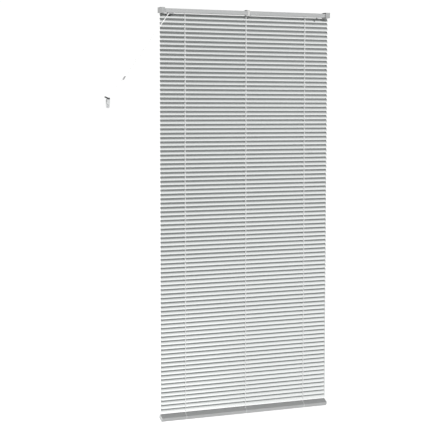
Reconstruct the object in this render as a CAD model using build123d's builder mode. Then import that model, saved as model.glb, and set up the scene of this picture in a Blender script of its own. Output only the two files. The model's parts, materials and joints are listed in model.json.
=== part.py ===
from build123d import *
import math
import os

# Venetian blind, hung from its brackets and let down to its full drop.
# X runs along the slats (right as seen from the room), the room is on the -Y side, +Z is up.
# The origin is on the middle bracket's top plate, halfway along the blind, in the plane of the slats.
# Millimetres throughout.

# Driving dimensions
SLAT_LENGTH = 992.0
SLAT_WIDTH = 25.0
SLAT_THICKNESS = 0.25
SLAT_CAMBER = 1.6
SLAT_COUNT = 92
SLAT_PITCH = 23.03
SLAT_TILT = 63.0  # degrees from level, room-side edge down
FIRST_SLAT_Z = -42.0
HINGED_EVERY = 4  # every fourth slat is a part of its own

HEADRAIL_LENGTH = 988.0
HEADRAIL_DEPTH = 38.0
HEADRAIL_HEIGHT = 21.0
HEADRAIL_TOP = -5.5
HEADRAIL_WALL = 0.8
HEADRAIL_LIP = 5.0

RAIL_DEPTH = 40.0
RAIL_THICKNESS = 24.0
RAIL_WALL = 1.4
RAIL_TILT = 30.0
RAIL_Z = -2174.9
RAIL_CAP = 2.0

LADDER_X = (-355.0, 0.0, 355.0)
LADDER_RADIUS = 0.5
LADDER_REACH = 8.1  # from the slat plane to each upright of a ladder
CORD_RADIUS = 0.7
SLOT_LENGTH = 9.0
SLOT_WIDTH = 3.5

ROD_Y = 4.0
ROD_Z = -15.0
ROD_RADIUS = 3.0
DRUM_RADIUS = 7.0
RUNNING_CLEARANCE = 0.08

BRACKET_WIDTH = 26.0
BRACKET_HEIGHT = 29.6
BRACKET_WALL = 0.9
BRACKET_OUTER_X = 500.0
BRACKET_HALF_DEPTH = 20.2

# Derived places
headrail_floor = HEADRAIL_TOP - HEADRAIL_HEIGHT
headrail_inside_floor = headrail_floor + HEADRAIL_WALL
tilt = math.radians(SLAT_TILT)
chord_direction = (0, math.cos(tilt), math.sin(tilt))
chord_normal = (0, -math.sin(tilt), math.cos(tilt))
rail_tilt = math.radians(RAIL_TILT)
rail_depth_direction = (0, math.cos(rail_tilt), math.sin(rail_tilt))
rail_normal = (0, -math.sin(rail_tilt), math.cos(rail_tilt))

os.makedirs("parts", exist_ok=True)


def save(piece, name):
    piece.label = name
    export_step(piece, f"parts/{name}.step")


def block(low, high):
    """Centre and size of the box between two corners."""
    centre = [(a + b) / 2 for a, b in zip(low, high)]
    size = [b - a for a, b in zip(low, high)]
    return Location(tuple(centre)), size


# Headrail: a U-channel with two turned-in lips, slotted under each ladder
with BuildPart() as headrail:
    with BuildSketch(Plane.YZ.offset(-HEADRAIL_LENGTH / 2)):
        with Locations((0, HEADRAIL_TOP - HEADRAIL_HEIGHT / 2)):
            RectangleRounded(HEADRAIL_DEPTH, HEADRAIL_HEIGHT, 1.5)
            Rectangle(
                HEADRAIL_DEPTH - 2 * HEADRAIL_WALL,
                HEADRAIL_HEIGHT - 2 * HEADRAIL_WALL,
                mode=Mode.SUBTRACT,
            )
        with Locations((0, HEADRAIL_TOP)):
            Rectangle(HEADRAIL_DEPTH - 2 * HEADRAIL_LIP, 4, mode=Mode.SUBTRACT)
    extrude(amount=HEADRAIL_LENGTH)
    with BuildSketch(Plane.XY.offset(headrail_floor - 1)):
        with Locations(*[(x, 0) for x in LADDER_X]):
            SlotOverall(35.6, 4, rotation=90)
        with Locations((-440, -10.5)):
            Rectangle(40, 15.6)
        with Locations((422, -11)):
            Rectangle(9, 9)
    extrude(amount=3, mode=Mode.SUBTRACT)
save(headrail.part, "headrail")

# End caps close the channel and plug into it
for side, name in ((-1, "left_end_cap"), (1, "right_end_cap")):
    cap_face = side * HEADRAIL_LENGTH / 2
    with BuildPart() as end_cap:
        with BuildSketch(Plane.YZ.offset(cap_face)):
            with Locations((0, HEADRAIL_TOP - HEADRAIL_HEIGHT / 2)):
                RectangleRounded(HEADRAIL_DEPTH, HEADRAIL_HEIGHT, 1.5)
        extrude(amount=side * 2.0)
        with BuildSketch(Plane.YZ.offset(cap_face)):
            with Locations((0, HEADRAIL_TOP - HEADRAIL_HEIGHT / 2)):
                plug_depth = HEADRAIL_DEPTH - 2 * HEADRAIL_WALL - 0.4
                plug_height = HEADRAIL_HEIGHT - 2 * HEADRAIL_WALL - 0.4
                Rectangle(plug_depth, plug_height)
        extrude(amount=-side * 7.0)
    save(end_cap.part, name)

# Box brackets: top, back, bottom and outer side, open to the room and inwards, with a hinged gate
pin_y = -21.7
pin_x = BRACKET_OUTER_X - BRACKET_WALL
knuckle_radius = 1.5
pin_radius = 0.6
knuckle_height = 4.0
screw_hole_radius = 2.2
bracket_hole_x = 480.0
for side, name in ((-1, "left"), (1, "right")):
    inner_x = side * (BRACKET_OUTER_X - BRACKET_WIDTH)
    outer_x = side * BRACKET_OUTER_X
    side_wall_x = side * (BRACKET_OUTER_X - BRACKET_WALL)
    x_low, x_high = sorted((inner_x, outer_x))
    with BuildPart() as bracket:
        where, size = block(
            (x_low, -BRACKET_HALF_DEPTH + 0.3, -BRACKET_HEIGHT),
            (x_high, BRACKET_HALF_DEPTH, 0),
        )
        with Locations(where):
            Box(*size)
        cavity_x = sorted((inner_x - side, side_wall_x))
        where, size = block(
            (cavity_x[0], -BRACKET_HALF_DEPTH - 1, -BRACKET_HEIGHT + BRACKET_WALL),
            (cavity_x[1], BRACKET_HALF_DEPTH - BRACKET_WALL, -BRACKET_WALL),
        )
        with Locations(where):
            Box(*size, mode=Mode.SUBTRACT)
        # knuckles of the gate's hinge, on tabs at the top and bottom of the outer side
        for low in (-knuckle_height, -BRACKET_HEIGHT):
            with BuildSketch(Plane.XY.offset(low)):
                with Locations((side * pin_x, pin_y)):
                    Circle(knuckle_radius)
                tab = sorted((side * pin_x, side * (pin_x - 1.4)))
                with Locations(((tab[0] + tab[1]) / 2, (pin_y - BRACKET_HALF_DEPTH + 0.9) / 2)):
                    Rectangle(1.4, pin_y * -1 - BRACKET_HALF_DEPTH + 0.9)
            extrude(amount=knuckle_height)
        with BuildSketch(Plane.XY.offset(-BRACKET_HEIGHT - 1)):
            with Locations((side * pin_x, pin_y)):
                Circle(pin_radius)
        extrude(amount=BRACKET_HEIGHT + 2, mode=Mode.SUBTRACT)
        # two screw holes in the top and two in the back
        with BuildSketch(Plane.XY.offset(-2)):
            with Locations((side * bracket_hole_x, -9), (side * bracket_hole_x, 9)):
                Circle(screw_hole_radius)
        extrude(amount=4, mode=Mode.SUBTRACT)
        with BuildSketch(Plane.XZ.offset(-BRACKET_HALF_DEPTH - 1)):
            with Locations((side * bracket_hole_x, -9), (side * bracket_hole_x, -25)):
                Circle(screw_hole_radius)
        extrude(amount=4, mode=Mode.SUBTRACT)
    save(bracket.part, f"{name}_bracket")

    with BuildPart() as gate:
        with BuildSketch(Plane.XY.offset(-BRACKET_HEIGHT + knuckle_height + 0.3)):
            with Locations((side * pin_x, pin_y)):
                Circle(knuckle_radius)
        extrude(amount=BRACKET_HEIGHT - 2 * knuckle_height - 0.6)
        leaf = sorted((side * pin_x, inner_x + side * 0.5))
        where, size = block(
            (leaf[0], pin_y - 0.5, -BRACKET_HEIGHT + knuckle_height + 0.3),
            (leaf[1], pin_y + 0.5, -knuckle_height - 0.3),
        )
        with Locations(where):
            Box(*size)
        leaf = sorted((side * (pin_x - 2.5), inner_x + side * 0.5))
        where, size = block((leaf[0], pin_y - 0.5, -BRACKET_HEIGHT), (leaf[1], pin_y + 0.5, -0.4))
        with Locations(where):
            Box(*size)
        with BuildSketch(Plane.XY.offset(-BRACKET_HEIGHT - 1)):
            with Locations((side * pin_x, pin_y)):
                Circle(pin_radius + RUNNING_CLEARANCE)
        extrude(amount=BRACKET_HEIGHT + 2, mode=Mode.SUBTRACT)
    save(gate.part, f"{name}_bracket_gate")

with BuildPart() as gate_pins:
    with BuildSketch(Plane.XY.offset(-BRACKET_HEIGHT)):
        with Locations((-pin_x, pin_y), (pin_x, pin_y)):
            Circle(pin_radius)
    extrude(amount=BRACKET_HEIGHT - 0.2)
save(gate_pins.part, "gate_pins")

# Middle bracket: a strap over the headrail, hooked under its front edge
strap_x = 7.8
strap_width = 12.0
strap_wall = 1.2
strap_inside = HEADRAIL_DEPTH / 2 + 0.3
plate_reach = 6.0
plate_half_depth = 16.0
with BuildPart() as centre_bracket:
    with BuildSketch(Plane.YZ.offset(strap_x - strap_width / 2)):
        with BuildLine():
            FilletPolyline(
                (-strap_inside + 7, -31.4),
                (-strap_inside - strap_wall / 2, -31.4),
                (-strap_inside - strap_wall / 2, -strap_wall / 2),
                (strap_inside + strap_wall / 2, -strap_wall / 2),
                (strap_inside + strap_wall / 2, -30),
                radius=2,
            )
            offset(amount=strap_wall / 2)
        make_face()
    extrude(amount=strap_width)
    # the top plate reaches across the middle of the blind
    where, size = block((-plate_reach, -plate_half_depth, -strap_wall), (strap_x, plate_half_depth, 0))
    with Locations(where):
        Box(*size)
    with BuildSketch(Plane.XY.offset(-3)):
        with Locations((strap_x, -8), (strap_x, 8)):
            Circle(screw_hole_radius)
    extrude(amount=6, mode=Mode.SUBTRACT)
save(centre_bracket.part, "centre_bracket")

lever_pivot = (strap_x, -16.0)
with BuildPart() as centre_lever:
    with BuildSketch(Plane.XY.offset(-29.2)):
        with Locations(lever_pivot):
            Circle(3)
        with Locations((strap_x + 7, lever_pivot[1])):
            SlotOverall(18, 5)
    extrude(amount=2.2)
save(centre_lever.part, "centre_bracket_lever")

# Tilt rod with a drum over each ladder, carried in saddles on the headrail's floor
drum_x = 6.0  # from the ladder to the middle of its drum
drum_width = 6.0
rod_start = LADDER_X[0] - 8
rod_end = 440.0
with BuildPart() as tilt_rod:
    with BuildSketch(Plane.YZ.offset(rod_start)):
        with Locations((ROD_Y, ROD_Z)):
            Circle(ROD_RADIUS)
    extrude(amount=rod_end - rod_start)
save(tilt_rod.part, "tilt_rod")

with BuildPart() as ladder_drums:
    for x in LADDER_X:
        with BuildSketch(Plane.YZ.offset(x + drum_x - drum_width / 2)):
            with Locations((ROD_Y, ROD_Z)):
                Circle(DRUM_RADIUS)
                Circle(ROD_RADIUS, mode=Mode.SUBTRACT)
        extrude(amount=drum_width)
save(ladder_drums.part, "ladder_drums")

saddle_length = 10.0
saddle_wall = 1.2
saddle_back = ROD_Y + 6.5
saddle_front = ROD_Y - 6.5
saddle_top = ROD_Z + 5.5
with BuildPart() as drum_saddles:
    for x in LADDER_X:
        near = x + drum_x - 4.4
        far = near + saddle_length
        where, size = block(
            (near, saddle_front, headrail_inside_floor),
            (far, saddle_back, ROD_Z - DRUM_RADIUS - 1),
        )
        with Locations(where):
            Box(*size)
        for wall in (near, far - saddle_wall):
            where, size = block(
                (wall, saddle_front, headrail_inside_floor),
                (wall + saddle_wall, saddle_back, saddle_top),
            )
            with Locations(where):
                Box(*size)
    with BuildSketch(Plane.YZ.offset(rod_start)):
        with Locations((ROD_Y, ROD_Z)):
            Circle(ROD_RADIUS + RUNNING_CLEARANCE)
    extrude(amount=rod_end - rod_start, mode=Mode.SUBTRACT)
save(drum_saddles.part, "drum_saddles")

# Tilter: a worm on a slanting stem drives a wheel on the rod
tilter_x = 422.0
wheel_teeth = 12
wheel_pitch_radius = 6.0
worm_pitch_radius = 3.0
worm_slant = math.radians(25)
stem_direction = (0, -math.sin(worm_slant), -math.cos(worm_slant))
wheel_gap = wheel_pitch_radius + worm_pitch_radius + 1.3
worm_centre = (
    tilter_x,
    ROD_Y - wheel_gap * math.cos(worm_slant),
    ROD_Z + wheel_gap * math.sin(worm_slant),
)
stem_plane = Plane(origin=worm_centre, x_dir=(1, 0, 0), z_dir=stem_direction)

with BuildPart() as tilter_housing:
    where, size = block((tilter_x - 12, -15, headrail_inside_floor), (tilter_x + 12, 14, -8))
    with Locations(where):
        Box(*size)
    where, size = block(
        (tilter_x - 10.5, -13.8, headrail_inside_floor + 2.2),
        (tilter_x + 10.5, 12.5, -7),
    )
    with Locations(where):
        Box(*size, mode=Mode.SUBTRACT)
    with BuildSketch(Plane.YZ.offset(tilter_x - 13)):
        with Locations((ROD_Y, ROD_Z)):
            Circle(ROD_RADIUS + RUNNING_CLEARANCE)
    extrude(amount=26, mode=Mode.SUBTRACT)
    with BuildSketch(stem_plane):
        Circle(2.3)
    extrude(amount=30, mode=Mode.SUBTRACT)
save(tilter_housing.part, "tilter_housing")

with BuildPart() as tilter_wheel:
    with BuildSketch(Plane.YZ.offset(tilter_x - 2.5)):
        with Locations((ROD_Y, ROD_Z)):
            Circle(wheel_pitch_radius - 1.0)
            with PolarLocations(wheel_pitch_radius, wheel_teeth):
                Rectangle(2.2, 1.3)
            Circle(ROD_RADIUS, mode=Mode.SUBTRACT)
    extrude(amount=5)
save(tilter_wheel.part, "tilter_wheel")

with BuildPart() as tilter_worm:
    with BuildSketch(stem_plane.offset(-4)):
        Circle(worm_pitch_radius - 1)
    extrude(amount=26)
    for step in range(3):
        with BuildSketch(stem_plane.offset(-3.7 + 3 * step)):
            Circle(worm_pitch_radius)
        extrude(amount=1.2)
save(tilter_worm.part, "tilter_worm")

hook_plane = stem_plane.offset(27.2)
ring_plane = Plane(origin=hook_plane.origin, x_dir=stem_direction, z_dir=(1, 0, 0))
ring_radius = 5.0
ring_hole_radius = 2.6
ring_thickness = 2.4
with BuildPart() as tilter_hook:
    with BuildSketch(ring_plane.offset(-ring_thickness / 2)):
        Circle(ring_radius)
        Circle(ring_hole_radius, mode=Mode.SUBTRACT)
    extrude(amount=ring_thickness)
    with BuildSketch(stem_plane.offset(22)):
        Circle(1.9)
    extrude(amount=0.7)
save(tilter_hook.part, "tilter_hook")

# Cord lock: cheeks through the headrail's floor, a fixed roller and a biting cam
lock_low = (-458.0, -17.6, -30.6)
lock_high = (-422.0, -3.4, -10.0)
roller_place = (-440.0, -15.0)
cam_place = (-449.5, -18.0)
lock_bore_radius = 1.2
lock_barrel = 11.6  # length of the roller and of the cam between the cheeks
lock_spindle = 14.2
with BuildPart() as cord_lock:
    where, size = block(lock_low, lock_high)
    with Locations(where):
        Box(*size)
    where, size = block((-456.5, -16.6, -33), (-421, -4.4, -9))
    with Locations(where):
        Box(*size, mode=Mode.SUBTRACT)
    where, size = block((-430, -16.9, -30.6), (-422, -4.0, -29.4))
    with Locations(where):
        Box(*size)
    with BuildSketch(Plane.XZ.offset(2)):
        with Locations(roller_place, cam_place):
            Circle(lock_bore_radius)
    extrude(amount=17, mode=Mode.SUBTRACT)
save(cord_lock.part, "cord_lock_housing")

with BuildPart() as roller:
    with BuildSketch(Plane.XZ.offset(4.7)):
        with Locations(roller_place):
            Circle(3)
    extrude(amount=lock_barrel)
    with BuildSketch(Plane.XZ.offset(3.4)):
        with Locations(roller_place):
            Circle(lock_bore_radius)
    extrude(amount=lock_spindle)
save(roller.part, "cord_lock_roller")

with BuildPart() as cam:
    with BuildSketch(Plane.XZ.offset(4.7)):
        with Locations(cam_place):
            Circle(3.3)
            with PolarLocations(3.3, 14):
                Circle(0.5)
    extrude(amount=lock_barrel)
    with BuildSketch(Plane.XZ.offset(3.4)):
        with Locations(cam_place):
            Circle(lock_bore_radius - RUNNING_CLEARANCE)
    extrude(amount=lock_spindle)
save(cam.part, "cord_lock_cam")

# Lift cords: up through every slat, then along the headrail to the lock
cord_y = -5.6
cord_levels = (-15.8, -13.4, -11.0)
cord_foot = -2160.0
with BuildPart() as lift_cords:
    for x, level in zip(LADDER_X, cord_levels):
        with BuildLine():
            run = FilletPolyline(
                (x, 0, cord_foot),
                (x, 0, level),
                (x - 8, cord_y, level),
                (-431, cord_y, level),
                radius=3,
            )
        with BuildSketch(Plane.XY.offset(cord_foot)):
            with Locations((x, 0)):
                Circle(CORD_RADIUS)
        sweep(path=run)
save(lift_cords.part, "lift_cords")

# Ladders: the room-side and window-side uprights, three of each
ladder_top_front, ladder_foot_front = -22.5, -2164.2
ladder_top_back, ladder_foot_back = -9.5, -2147.8
with BuildPart() as ladder_front:
    with BuildSketch(Plane.XY.offset(ladder_foot_front)):
        with Locations(*[(x, -LADDER_REACH) for x in LADDER_X]):
            Circle(LADDER_RADIUS)
    extrude(amount=ladder_top_front - ladder_foot_front)
save(ladder_front.part, "ladder_front_strings")

with BuildPart() as ladder_back:
    with BuildSketch(Plane.XY.offset(ladder_foot_back)):
        with Locations(*[(x, LADDER_REACH) for x in LADDER_X]):
            Circle(LADDER_RADIUS)
    extrude(amount=ladder_top_back - ladder_foot_back)
save(ladder_back.part, "ladder_back_strings")

# Slats: thin cambered strips with a route slot at each ladder
with BuildPart() as slat:
    slat_end = Plane(origin=(-SLAT_LENGTH / 2, 0, 0), x_dir=chord_direction, z_dir=(1, 0, 0))
    with BuildSketch(slat_end):
        with BuildLine():
            half = SLAT_WIDTH / 2
            outer = ThreePointArc((-half, 0), (0, SLAT_CAMBER), (half, 0))
            inner = ThreePointArc(
                (-half, -SLAT_THICKNESS),
                (0, SLAT_CAMBER - SLAT_THICKNESS),
                (half, -SLAT_THICKNESS),
            )
            Line(outer @ 0, inner @ 0)
            Line(outer @ 1, inner @ 1)
        make_face()
    extrude(amount=SLAT_LENGTH)
    with BuildSketch(Plane(origin=(0, 0, 0), x_dir=(1, 0, 0), z_dir=chord_normal)):
        with Locations(*[(x, 0) for x in LADDER_X]):
            SlotOverall(SLOT_LENGTH, SLOT_WIDTH, rotation=90)
    extrude(amount=4, both=True, mode=Mode.SUBTRACT)

between = []
for number in range(SLAT_COUNT):
    place = Location((0, 0, FIRST_SLAT_Z - number * SLAT_PITCH))
    if number % HINGED_EVERY == 0:
        with BuildPart() as hinged_slat:
            add(slat.part.moved(place))
        save(hinged_slat.part, f"slat_{number + 1:02d}")
    else:
        between.append(slat.part.moved(place).solid())
save(Compound(children=between), "slats_between")

# Bottom rail: a rounded hollow section, closed by end caps, with a plug under each ladder
rail_plane = Plane(origin=(0, 0, RAIL_Z), x_dir=rail_depth_direction, z_dir=(1, 0, 0))
rail_half = SLAT_LENGTH / 2
rail_corner = 5.0
plug_radius = 3.1
plug_head_radius = 5.0
plug_head = 2.0
rail_inner_depth = RAIL_DEPTH - 2 * RAIL_WALL
rail_inner_thickness = RAIL_THICKNESS - 2 * RAIL_WALL
with BuildPart() as bottom_rail:
    with BuildSketch(rail_plane.offset(-rail_half)):
        RectangleRounded(RAIL_DEPTH, RAIL_THICKNESS, rail_corner)
        RectangleRounded(
            rail_inner_depth,
            rail_inner_thickness,
            rail_corner - RAIL_WALL,
            mode=Mode.SUBTRACT,
        )
    extrude(amount=SLAT_LENGTH)
    with BuildSketch(Plane(origin=(0, 0, RAIL_Z), x_dir=(1, 0, 0), z_dir=rail_normal)):
        with Locations(*[(x, 0) for x in LADDER_X]):
            Circle(plug_radius + 0.1)
    extrude(amount=-RAIL_THICKNESS, mode=Mode.SUBTRACT)
save(bottom_rail.part, "bottom_rail")

with BuildPart() as rail_plugs:
    for x in LADDER_X:
        plug_plane = Plane(origin=(x, 0, RAIL_Z), x_dir=(1, 0, 0), z_dir=rail_normal)
        with BuildSketch(plug_plane.offset(-RAIL_THICKNESS / 2 - plug_head)):
            Circle(plug_head_radius)
        extrude(amount=plug_head)
        with BuildSketch(plug_plane.offset(-RAIL_THICKNESS / 2)):
            Circle(plug_radius)
        extrude(amount=4)
save(rail_plugs.part, "rail_plugs")

for side, name in ((-1, "left_rail_cap"), (1, "right_rail_cap")):
    with BuildPart() as rail_cap:
        with BuildSketch(rail_plane.offset(side * rail_half)):
            RectangleRounded(RAIL_DEPTH, RAIL_THICKNESS, rail_corner)
        extrude(amount=side * RAIL_CAP)
        with BuildSketch(rail_plane.offset(side * rail_half)):
            RectangleRounded(rail_inner_depth - 0.4, rail_inner_thickness - 0.4, 3.2)
        extrude(amount=-side * 8)
    save(rail_cap.part, name)

# Pull cords: three from the lock to a connector, one on from there to a cleat on the wall
connector_top = (-694.0, -16.0, -361.0)
connector_foot = (-708.0, -16.0, -379.8)
cord_exits = (-446.5, -448.5, -450.5)
exit_z = -27.0


def corner_radii(points):
    """Radius at each inner point: 0.45 of the shorter run over the tangent of half the turn."""
    radii = []
    for a, b, c in zip(points, points[1:], points[2:]):
        first = Vector(*b) - Vector(*a)
        second = Vector(*c) - Vector(*b)
        turn = math.radians(first.get_angle(second))
        radii.append(0.45 * min(first.length, second.length) / math.tan(turn / 2))
    return radii


def cord_tube(points, name):
    radii = corner_radii(points)
    print(name, "arc radii", [round(r, 1) for r in radii])
    start = Plane(origin=points[0], z_dir=Vector(*points[1]) - Vector(*points[0]))
    with BuildPart() as tube:
        with BuildLine():
            path = FilletPolyline(*points, radius=radii)
        with BuildSketch(start):
            Circle(CORD_RADIUS)
        sweep(path=path)
    print(name, "length", round(path.length, 1))
    save(tube.part, name)


for number, exit_x in enumerate(cord_exits, 1):
    meet_x = connector_top[0] + (2 - number) * 2.0
    middle_x = (exit_x + meet_x) / 2 - 2
    middle_z = (exit_z + connector_top[2]) / 2 - 2.5
    route = [
        (exit_x, -15.8, exit_z),
        (middle_x, -16.0, middle_z),
        (meet_x, -16.0, connector_top[2]),
    ]
    cord_tube(route, f"pull_cord_{number}")

cord_tube(
    [
        connector_foot,
        (-731.0, -12.0, -403.0),
        (-753.0, -6.0, -427.0),
        (-768.0, 0.5, -450.0),
        (-777.5, 5.5, -471.0),
    ],
    "pull_cord_tail",
)

connector_axis = Vector(*connector_foot) - Vector(*connector_top)
connector_length = connector_axis.length
connector_side = Vector(0, 1, 0).cross(connector_axis)
with BuildPart() as connector:
    with BuildSketch(Plane(origin=connector_top, x_dir=(0, 1, 0), z_dir=connector_side)):
        with BuildLine():
            Polyline(
                (0, 0),
                (3.0, 0),
                (3.4, 4),
                (4.6, 15),
                (3.2, 21),
                (1.2, connector_length),
                (0, connector_length),
                (0, 0),
            )
        make_face()
    revolve(axis=Axis(connector_top, connector_axis))
save(connector.part, "cord_connector")

# Cleat: a plate on the wall with a standing-off horn
cleat_back = BRACKET_HALF_DEPTH
cleat_x = -779.0
cleat_screw_z = -517.0
cleat_plate = 5.0
cleat_head = 19.0  # from the wall to the front of the head
with BuildPart() as cleat:
    with BuildSketch(Plane.XZ.offset(-cleat_back)):
        with Locations((cleat_x, -500)):
            SlotOverall(52, 20, rotation=90)
    extrude(amount=cleat_plate)
    with BuildSketch(Plane.XZ.offset(-cleat_back + cleat_plate)):
        with Locations((cleat_x, -490)):
            RectangleRounded(12, 26, 4)
    extrude(amount=9)
    with BuildSketch(Plane.XZ.offset(-cleat_back + 14)):
        with Locations((cleat_x, -488)):
            RectangleRounded(14, 34, 5)
    extrude(amount=5)
    with BuildSketch(Plane.XZ.offset(-cleat_back - 1)):
        with Locations((cleat_x, cleat_screw_z)):
            Circle(2.1)
    extrude(amount=8, mode=Mode.SUBTRACT)
save(cleat.part, "cord_cleat")

with BuildPart() as horn:
    with BuildSketch(Plane.XZ.offset(-cleat_back + cleat_head + 0.3)):
        with BuildLine():
            Polyline(
                (-774, -479),
                (-783, -479),
                (-803, -470),
                (-801, -464),
                (-780, -472),
                (-774, -472),
                close=True,
            )
        make_face()
    extrude(amount=5)
    fillet(horn.edges().filter_by(Axis.Y), 1.5)
save(horn.part, "cleat_horn")

with BuildPart() as screw:
    with BuildSketch(Plane.XZ.offset(-cleat_back + cleat_plate)):
        with Locations((cleat_x, cleat_screw_z)):
            Circle(4)
    extrude(amount=2)
    fillet(screw.edges().sort_by(Axis.Y)[0], 1)
    with BuildSketch(Plane.XZ.offset(-cleat_back + 6.4)):
        with Locations((cleat_x, cleat_screw_z)):
            Rectangle(6, 1)
            Rectangle(1, 6)
    extrude(amount=2, mode=Mode.SUBTRACT)
save(screw.part, "cleat_screw")
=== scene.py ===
import json
import math
import random

import bmesh
import bpy
from mathutils import Matrix, Vector


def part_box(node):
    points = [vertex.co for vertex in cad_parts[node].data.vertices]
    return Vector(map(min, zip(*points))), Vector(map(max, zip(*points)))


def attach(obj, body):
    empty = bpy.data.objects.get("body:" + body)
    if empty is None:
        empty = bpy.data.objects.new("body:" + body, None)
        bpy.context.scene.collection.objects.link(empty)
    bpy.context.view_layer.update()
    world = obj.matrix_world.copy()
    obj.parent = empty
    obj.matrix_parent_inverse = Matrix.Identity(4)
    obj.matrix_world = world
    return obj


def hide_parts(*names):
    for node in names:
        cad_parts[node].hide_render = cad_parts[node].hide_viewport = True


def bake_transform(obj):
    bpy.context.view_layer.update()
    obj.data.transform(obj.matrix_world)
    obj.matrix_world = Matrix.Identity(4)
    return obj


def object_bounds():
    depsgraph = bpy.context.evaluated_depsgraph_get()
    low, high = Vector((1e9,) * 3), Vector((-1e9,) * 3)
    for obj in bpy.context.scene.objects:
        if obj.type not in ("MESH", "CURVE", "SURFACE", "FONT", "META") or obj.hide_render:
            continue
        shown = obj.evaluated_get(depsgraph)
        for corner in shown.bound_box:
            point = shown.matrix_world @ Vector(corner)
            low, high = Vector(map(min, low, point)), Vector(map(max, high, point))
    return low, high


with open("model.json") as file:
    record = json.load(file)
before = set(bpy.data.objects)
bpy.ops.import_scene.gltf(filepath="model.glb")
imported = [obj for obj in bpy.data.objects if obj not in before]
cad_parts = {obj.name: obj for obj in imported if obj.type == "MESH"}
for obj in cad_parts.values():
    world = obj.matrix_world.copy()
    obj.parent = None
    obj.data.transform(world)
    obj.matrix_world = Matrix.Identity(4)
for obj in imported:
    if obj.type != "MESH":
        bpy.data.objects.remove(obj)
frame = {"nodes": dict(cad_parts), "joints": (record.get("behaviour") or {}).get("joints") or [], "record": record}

cad_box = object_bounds()
random.seed(23)

# Sizes, in metres, worked out from the frame
slat_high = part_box("slat_01")[1]
SLAT_HALF_LENGTH = slat_high[0]
SLAT_HALF_WIDTH = 0.0125
SLAT_THICKNESS = 0.0003
SLAT_CAMBER = 0.0016
SLAT_TILT = math.radians(63)
SLAT_COUNT = 92
SLAT_CORNER = 0.005
HALF_SLOT = 0.0045  # half the length of the route slot, across the slat
HINGED_EVERY = 4
LADDER_X = (-0.355, 0.0, 0.355)
CORD_RADIUS = 0.0007
STRING_RADIUS = 0.0005
RAIL_TILT = math.radians(30)
RAIL_DEPTH = 0.040
RAIL_THICKNESS = 0.024

slat_joints = {j["child"]: j for j in frame["joints"] if j["child"].startswith("slat_")}
first_slat_z = slat_joints["slat_01"]["pos_m"][2]
slat_pitch = (first_slat_z - slat_joints["slat_05"]["pos_m"][2]) / HINGED_EVERY
rail_centre = Vector(next(j for j in frame["joints"] if j["child"] == "bottom_rail")["pos_m"])


# ---------- materials ----------


def new_material(name, colour, roughness, metallic=0.0, coat=0.0):
    material = bpy.data.materials.new(name)
    material.use_nodes = True
    shader = material.node_tree.nodes["Principled BSDF"]
    shader.inputs["Base Color"].default_value = (*colour, 1)
    shader.inputs["Roughness"].default_value = roughness
    shader.inputs["Metallic"].default_value = metallic
    shader.inputs["Coat Weight"].default_value = coat
    return material, shader


def add_grain(material, shader, colour, scale, spread, roughness, bump, stretch=(1, 1, 1), detail=4):
    """Colour, roughness and bump from noise in object space, stretched where the surface is drawn."""
    nodes, links = material.node_tree.nodes, material.node_tree.links
    place = nodes.new("ShaderNodeTexCoord")
    mapping = nodes.new("ShaderNodeMapping")
    mapping.inputs["Scale"].default_value = stretch
    links.new(place.outputs["Object"], mapping.inputs["Vector"])
    noise = nodes.new("ShaderNodeTexNoise")
    noise.inputs["Scale"].default_value = scale
    noise.inputs["Detail"].default_value = detail
    links.new(mapping.outputs["Vector"], noise.inputs["Vector"])
    ramp = nodes.new("ShaderNodeValToRGB")
    ramp.color_ramp.elements[0].position = 0.3
    ramp.color_ramp.elements[1].position = 0.7
    ramp.color_ramp.elements[0].color = (*[c * (1 - spread) for c in colour], 1)
    ramp.color_ramp.elements[1].color = (*[min(1, c * (1 + spread)) for c in colour], 1)
    links.new(noise.outputs["Fac"], ramp.inputs["Fac"])
    links.new(ramp.outputs["Color"], shader.inputs["Base Color"])
    rough = nodes.new("ShaderNodeMapRange")
    rough.inputs["To Min"].default_value = roughness[0]
    rough.inputs["To Max"].default_value = roughness[1]
    links.new(noise.outputs["Fac"], rough.inputs["Value"])
    links.new(rough.outputs["Result"], shader.inputs["Roughness"])
    fine = nodes.new("ShaderNodeTexNoise")
    fine.inputs["Scale"].default_value = scale * 6
    fine.inputs["Detail"].default_value = 2
    links.new(mapping.outputs["Vector"], fine.inputs["Vector"])
    relief = nodes.new("ShaderNodeBump")
    relief.inputs["Strength"].default_value = bump
    relief.inputs["Distance"].default_value = 0.0002
    links.new(fine.outputs["Fac"], relief.inputs["Height"])
    links.new(relief.outputs["Normal"], shader.inputs["Normal"])


def grained(name, colour, roughness, scale, spread, bump, metallic=0.0, coat=0.0, stretch=(1, 1, 1)):
    material, shader = new_material(name, colour, roughness[0], metallic, coat)
    add_grain(material, shader, colour, scale, spread, roughness, bump, stretch)
    return material


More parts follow.
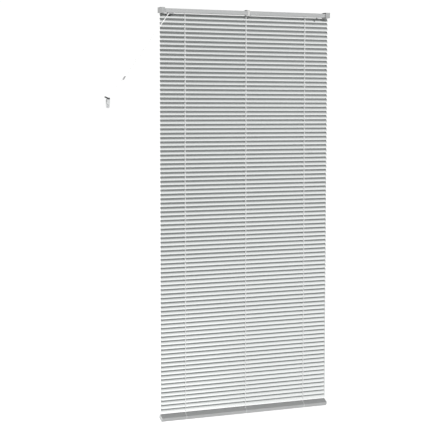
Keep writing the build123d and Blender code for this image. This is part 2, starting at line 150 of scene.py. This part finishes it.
def braided(name, colour, pitch, radius):
    """Round braid: two waves crossing along the cord's run, as bump and as painted shade darkening the valleys."""
    material, shader = new_material(name, colour, 0.8)
    shader.inputs["Sheen Weight"].default_value = 0.2
    nodes, links = material.node_tree.nodes, material.node_tree.links
    place = nodes.new("ShaderNodeTexCoord")
    waves = []
    for lean in (1, -1):
        mapping = nodes.new("ShaderNodeMapping")
        mapping.inputs["Rotation"].default_value = (0, lean * math.radians(35), 0)
        links.new(place.outputs["Object"], mapping.inputs["Vector"])
        wave = nodes.new("ShaderNodeTexWave")
        wave.bands_direction = "Z"
        wave.inputs["Scale"].default_value = 1 / pitch
        links.new(mapping.outputs["Vector"], wave.inputs["Vector"])
        waves.append(wave)
    cross = nodes.new("ShaderNodeMath")
    cross.operation = "MULTIPLY"
    links.new(waves[0].outputs["Fac"], cross.inputs[0])
    links.new(waves[1].outputs["Fac"], cross.inputs[1])
    # painted shade: the braid's valleys take a darker colour, where shade falls between the strands
    ramp = nodes.new("ShaderNodeValToRGB")
    ramp.color_ramp.elements[0].color = (*[c * 0.82 for c in colour], 1)
    ramp.color_ramp.elements[1].color = (*colour, 1)
    links.new(cross.outputs["Value"], ramp.inputs["Fac"])
    links.new(ramp.outputs["Color"], shader.inputs["Base Color"])
    relief = nodes.new("ShaderNodeBump")
    relief.inputs["Strength"].default_value = 0.4
    relief.inputs["Distance"].default_value = radius / 3
    links.new(cross.outputs["Value"], relief.inputs["Height"])
    links.new(relief.outputs["Normal"], shader.inputs["Normal"])
    return material


SILVER = (0.475, 0.487, 0.484)
RAIL_GREY = (0.34, 0.346, 0.346)
drawn = (0.06, 1, 1)  # grain drawn out along the slat's length
materials = {
    "slat_paint": grained("slat_paint", SILVER, (0.12, 0.17), 260, 0.015, 0.012, 0.95, 0.0, drawn),
    "rail_paint": grained("rail_paint", RAIL_GREY, (0.34, 0.44), 240, 0.04, 0.10, 0.35, 0.0, drawn),
    "bracket_steel": grained("bracket_steel", (0.31, 0.315, 0.315), (0.35, 0.5), 300, 0.06, 0.15, 0.4, 0.1),
    "steel": grained("steel", (0.42, 0.42, 0.43), (0.25, 0.42), 500, 0.10, 0.2, 1.0),
    "cord": braided("cord", (0.95, 0.95, 0.945), 0.0011, CORD_RADIUS),
    "ladder_string": braided("ladder_string", (0.88, 0.89, 0.89), 0.0008, STRING_RADIUS),
    "grey_plastic": grained("grey_plastic", (0.50, 0.51, 0.51), (0.42, 0.55), 420, 0.04, 0.2),
    "white_plastic": grained("white_plastic", (0.50, 0.50, 0.492), (0.38, 0.5), 420, 0.03, 0.15),
    "smoke_plastic": grained("smoke_plastic", (0.30, 0.30, 0.305), (0.35, 0.5), 420, 0.08, 0.2),
    "dark_plastic": grained("dark_plastic", (0.022, 0.023, 0.026), (0.38, 0.52), 420, 0.12, 0.25),
}
floor_material = grained("floor_paint", (0.9, 0.9, 0.9), (0.7, 0.8), 6, 0.01, 0.02)
floor_shader = floor_material.node_tree.nodes["Principled BSDF"]
floor_shader.inputs["Emission Color"].default_value = (1, 1, 1, 1)
floor_shader.inputs["Emission Strength"].default_value = 0.47

for row in frame["record"]["subparts"]:
    node = frame["nodes"][row["node"]]
    node.data.materials.clear()
    node.data.materials.append(materials[row["material_slot"]])


# ---------- slats ----------


def across(tilt, along, lift=0.0):
    """Place in the YZ plane: along the chord (positive towards the window) and out on its convex side."""
    y = along * math.cos(tilt) - lift * math.sin(tilt)
    z = along * math.sin(tilt) + lift * math.cos(tilt)
    return Vector((0, y, z))


def slat_columns():
    """Where the slat's cross-sections stand, with the half-width and the half-slot there."""
    columns = []
    for step in range(5):
        turn = math.radians(22.5 * step)
        inset = SLAT_CORNER * (1 - math.cos(turn))
        half = SLAT_HALF_WIDTH - SLAT_CORNER + SLAT_CORNER * math.sin(turn)
        columns.append((-SLAT_HALF_LENGTH + inset, half, HALF_SLOT, False))
    for x in LADDER_X:
        # the slot's round ends narrow it towards its own two sides
        for out, half_slot in ((-0.012, HALF_SLOT), (-0.00175, 0.0028), (-0.0009, 0.0041), (0.0, HALF_SLOT)):
            columns.append((x + out, SLAT_HALF_WIDTH, half_slot, out > -0.01))
        for out, half_slot in ((0.0009, 0.0041), (0.00175, 0.0028), (0.012, HALF_SLOT)):
            columns.append((x + out, SLAT_HALF_WIDTH, half_slot, out < 0.0017))
    for x in (-0.43, -0.24, -0.12, 0.12, 0.24, 0.43):
        columns.append((x, SLAT_HALF_WIDTH, HALF_SLOT, False))
    columns += [(-x, half, slot, False) for x, half, slot, _ in columns[:5]]
    return sorted(columns)


def slat_rows(half, half_slot):
    """Places across the slat: five below the slot, two inside it and five above."""
    lower = [-half + (half - half_slot) * i / 4 for i in range(5)]
    return lower + [-half_slot / 3, half_slot / 3] + [-v for v in reversed(lower)]


def slat_mesh(name, tilt):
    """A cambered strip with rounded corners and a route slot at each ladder."""
    shape = bmesh.new()
    columns = slat_columns()
    grid = []
    for x, half, half_slot, _ in columns:
        column = []
        for along in slat_rows(half, half_slot):
            lift = SLAT_CAMBER * (1 - (along / SLAT_HALF_WIDTH) ** 2)
            column.append(shape.verts.new(across(tilt, along, lift) + Vector((x, 0, 0))))
        grid.append(column)
    for i in range(len(grid) - 1):
        cut = columns[i][3]
        for k in range(len(grid[i]) - 1):
            if cut and 4 <= k <= 6:
                continue
            shape.faces.new((grid[i][k], grid[i + 1][k], grid[i + 1][k + 1], grid[i][k + 1]))
    bmesh.ops.recalc_face_normals(shape, faces=shape.faces)
    bmesh.ops.solidify(shape, geom=shape.faces[:], thickness=SLAT_THICKNESS)
    for face in shape.faces:
        face.smooth = True
    mesh = bpy.data.meshes.new(name)
    shape.to_mesh(mesh)
    shape.free()
    mesh.set_sharp_from_angle(angle=math.radians(40))
    return mesh


def tube_into(shape, points, radius, sides=8):
    """Adds a round tube along points to a bmesh, closed at its ends."""
    rings = []
    for i, point in enumerate(points):
        before, after = points[max(i - 1, 0)], points[min(i + 1, len(points) - 1)]
        run = (after - before).normalized()
        if i == 0:
            side = run.orthogonal().normalized()
        else:
            side = (side - run * side.dot(run)).normalized()
        other = run.cross(side)
        ring = []
        for step in range(sides):
            angle = 2 * math.pi * step / sides
            ring.append(shape.verts.new(point + radius * (math.cos(angle) * side + math.sin(angle) * other)))
        rings.append(ring)
    for low, high in zip(rings, rings[1:]):
        for step in range(sides):
            following = (step + 1) % sides
            face = shape.faces.new((low[step], low[following], high[following], high[step]))
            face.smooth = True
    shape.faces.new(list(reversed(rings[0])))
    shape.faces.new(rings[-1])


def tubes(name, runs, radius, sides=8):
    shape = bmesh.new()
    for run in runs:
        tube_into(shape, run, radius, sides)
    bmesh.ops.recalc_face_normals(shape, faces=shape.faces)
    mesh = bpy.data.meshes.new(name)
    shape.to_mesh(mesh)
    shape.free()
    return mesh


def piece(name, mesh, slot):
    obj = bpy.data.objects.new(name, mesh)
    bpy.context.scene.collection.objects.link(obj)
    if not mesh.materials:
        mesh.materials.append(materials[slot])
    return obj


ladder_reach = 0.0081 / math.cos(SLAT_TILT)  # half a rung, upright to upright
rung_radius = 0.0003
rung_drop = 0.0006  # the rungs lie under the slat
rung_spread = 0.0024  # each rung is a pair of strings, one each side of the slot
for number in range(SLAT_COUNT):
    centre = Vector((0, 0, first_slat_z - number * slat_pitch))
    wobble = math.radians(random.uniform(-0.5, 0.5))
    mesh = slat_mesh(f"slat_strip_{number + 1:02d}", SLAT_TILT + wobble)
    mesh.transform(Matrix.Translation(centre))
    strip = piece(f"slat_strip_{number + 1:02d}", mesh, "slat_paint")
    if number % HINGED_EVERY == 0:
        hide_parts(f"slat_{number + 1:02d}")
        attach(strip, f"slat_{number + 1:02d}")
    else:
        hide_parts("slats_between")
        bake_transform(strip)
    rungs = []
    for x in LADDER_X:
        for beside in (-rung_spread, rung_spread):
            run = []
            for step in range(9):
                along = ladder_reach * (step / 4 - 1)
                spread = beside * max(0.0, 1 - (along / ladder_reach) ** 4)
                run.append(centre + across(SLAT_TILT, along, -rung_drop) + Vector((x + spread, 0, 0)))
            rungs.append(run)
    rung_mesh = tubes(f"rungs_{number + 1:02d}", rungs, rung_radius, 6)
    rung = piece(f"ladder_rungs_{number + 1:02d}", rung_mesh, "ladder_string")
    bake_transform(rung)

# Ladder uprights, a thread pair twisted together
upright_steps = 240
twist_per_step = 1.1
twist_radius = 0.00022
thread_radius = 0.00036
for side, body in (("front", "ladder_front"), ("back", "ladder_back")):
    low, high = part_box(f"ladder_{side}_strings")
    y = (low[1] + high[1]) / 2
    runs = []
    for x in LADDER_X:
        for strand in (0, math.pi):
            run = []
            for i in range(upright_steps + 1):
                angle = strand + i * twist_per_step
                z = low[2] + (high[2] - low[2]) * i / upright_steps
                across_x = x + twist_radius * math.cos(angle)
                across_y = y + twist_radius * math.sin(angle)
                run.append(Vector((across_x, across_y, z)))
            runs.append(run)
    upright_mesh = tubes(f"uprights_{side}", runs, thread_radius, 6)
    string = piece(f"ladder_uprights_{side}", upright_mesh, "ladder_string")
    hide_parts(f"ladder_{side}_strings")
    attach(string, body)


def on_rail(along, lift):
    """A place in the bottom rail's own section: along its depth, and up through its thickness."""
    return rail_centre + across(RAIL_TILT, along, lift)


# Ladder tails run over the bottom rail, round its room-side edge and back to the plug below
tail_runs = []
tail_stand = 0.0004
half_depth = RAIL_DEPTH / 2 + tail_stand
half_thick = RAIL_THICKNESS / 2 + tail_stand
bend = 0.005
for x in LADDER_X:
    for edge in (-1, 1):
        route = [on_rail(edge * 0.001, half_thick)]
        for above in (1, -1):
            for step in range(5):
                turned = 22.5 * step if above > 0 else 90 - 22.5 * step
                turn = math.radians(turned)
                along = edge * (half_depth - bend + bend * math.sin(turn))
                lift = above * (half_thick - bend + bend * math.cos(turn))
                route.append(on_rail(along, lift))
        route.append(on_rail(edge * 0.004, -half_thick))
        tail_runs.append([p + Vector((x, 0, 0)) for p in route])
tails = piece("ladder_tails", tubes("ladder_tails", tail_runs, 0.0006, 8), "ladder_string")
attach(tails, "bottom_rail")


# ---------- cords ----------


def cord_curve(name, points, radius):
    data = bpy.data.curves.new(name, "CURVE")
    data.dimensions = "3D"
    data.bevel_depth = radius
    data.bevel_resolution = 3
    data.use_fill_caps = True
    spline = data.splines.new("NURBS")
    spline.points.add(len(points) - 1)
    for target, place in zip(spline.points, points):
        target.co = (*place, 1)
    spline.order_u = 3
    spline.use_endpoint_u = True
    spline.resolution_u = 12
    data.materials.append(materials["cord"])
    obj = bpy.data.objects.new(name, data)
    bpy.context.scene.collection.objects.link(obj)
    return obj


connector_top = (-0.694, -0.016, -0.361)
connector_foot = (-0.708, -0.016, -0.3798)
exits = (-0.4465, -0.4485, -0.4505)
exit_z = -0.027
for number, exit_x in enumerate(exits, 1):
    meet_x = connector_top[0] + (2 - number) * 0.002
    middle_x = (exit_x + meet_x) / 2 - 0.002
    middle_z = (exit_z + connector_top[2]) / 2 - 0.0025
    route = [
        (exit_x, -0.0158, exit_z),
        (middle_x, -0.016, middle_z),
        (meet_x, -0.016, connector_top[2]),
    ]
    cord = cord_curve(f"pull_cord_line_{number}", route, CORD_RADIUS)
    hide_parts(f"pull_cord_{number}")
    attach(cord, "headrail")

tail_route = [
    connector_foot,
    (-0.731, -0.012, -0.403),
    (-0.753, -0.006, -0.427),
    (-0.768, 0.0005, -0.450),
    (-0.7775, 0.0055, -0.471),
]
tail = cord_curve("pull_cord_tail_line", tail_route, CORD_RADIUS)
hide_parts("pull_cord_tail")
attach(tail, "headrail")


# ---------- floor, light and camera ----------

floor_mesh = bpy.data.meshes.new("floor")
floor_drop = 0.12  # the blind hangs clear of the floor
floor_z = cad_box[0][2] - floor_drop
reach = 30.0
corners = [(-reach, -reach), (reach, -reach), (reach, reach), (-reach, reach)]
floor_mesh.from_pydata(
    [(x, y, floor_z) for x, y in corners],
    [],
    [(0, 1, 2, 3)],
)
floor_mesh.materials.append(floor_material)
floor = bpy.data.objects.new("floor", floor_mesh)
bpy.context.scene.collection.objects.link(floor)

world = bpy.data.worlds.new("studio")
bpy.context.scene.world = world
world.use_nodes = True
nodes, links = world.node_tree.nodes, world.node_tree.links
direction = nodes.new("ShaderNodeTexCoord")
# A dark panel overhead, in front of the blind, gives the slats their dark upper halves
panel = nodes.new("ShaderNodeVectorMath")
panel.operation = "DOT_PRODUCT"
panel_height = math.radians(80)
panel.inputs[1].default_value = (0, -math.cos(panel_height), math.sin(panel_height))
links.new(direction.outputs["Generated"], panel.inputs[0])
dome = nodes.new("ShaderNodeValToRGB")
dome.color_ramp.elements[0].position = 0.52
dome.color_ramp.elements[0].color = (1, 1, 1, 1)
dome.color_ramp.elements[1].position = 1.0
dome.color_ramp.elements[1].color = (0.02, 0.0215, 0.021, 1)
for position, level in ((0.80, 0.72), (0.88, 0.05)):
    dome.color_ramp.elements.new(position).color = (level, level, level, 1)
links.new(panel.outputs["Value"], dome.inputs["Fac"])
links.new(dome.outputs["Color"], nodes["Background"].inputs["Color"])
nodes["Background"].inputs["Strength"].default_value = 1.02
# A soft bright patch low on the room's right is what the lower edge of each slat reflects
patch = nodes.new("ShaderNodeVectorMath")
patch.operation = "DOT_PRODUCT"
patch_turn = math.radians(30)
patch_height = math.radians(19)
patch.inputs[1].default_value = (
    math.sin(patch_turn) * math.cos(patch_height),
    -math.cos(patch_turn) * math.cos(patch_height),
    math.sin(patch_height),
)
links.new(direction.outputs["Generated"], patch.inputs[0])
glow = nodes.new("ShaderNodeMapRange")
glow.inputs["From Min"].default_value = 0.86
glow.inputs["From Max"].default_value = 0.985
glow.inputs["To Max"].default_value = 1.15
links.new(patch.outputs["Value"], glow.inputs["Value"])
bright = nodes.new("ShaderNodeBackground")
links.new(glow.outputs["Result"], bright.inputs["Strength"])
both = nodes.new("ShaderNodeAddShader")
links.new(nodes["Background"].outputs["Background"], both.inputs[0])
links.new(bright.outputs["Background"], both.inputs[1])
links.new(both.outputs["Shader"], nodes["World Output"].inputs["Surface"])


def area_light(name, place, aim, size, power):
    data = bpy.data.lights.new(name, "AREA")
    data.shape = "RECTANGLE"
    data.size, data.size_y = size
    data.energy = power
    lamp = bpy.data.objects.new(name, data)
    lamp.location = place
    lamp.visible_camera = False
    lamp.rotation_euler = (Vector(aim) - Vector(place)).to_track_quat("-Z", "Y").to_euler()
    bpy.context.scene.collection.objects.link(lamp)


area_light("front_softbox", (0.6, -5.0, -0.9), (0, 0, -1.0), (3.0, 3.0), 10)
# High on the left, where the slats don't reflect it to the camera: it lights the top of the bottom rail
area_light("high_softbox", (-3.0, -2.6, 2.2), (0, 0, -1.9), (2.0, 2.0), 70)

camera_data = bpy.data.cameras.new("camera")
camera_data.sensor_width = 36
camera_data.lens = 108.54
camera = bpy.data.objects.new("camera", camera_data)
camera.location = (-2.9769, -6.3609, -0.5548)
camera.rotation_euler = (math.pi / 2 - 0.0778, 0, -0.4141)
bpy.context.scene.collection.objects.link(camera)
bpy.context.scene.camera = camera
bpy.context.scene.view_settings.view_transform = "Standard"
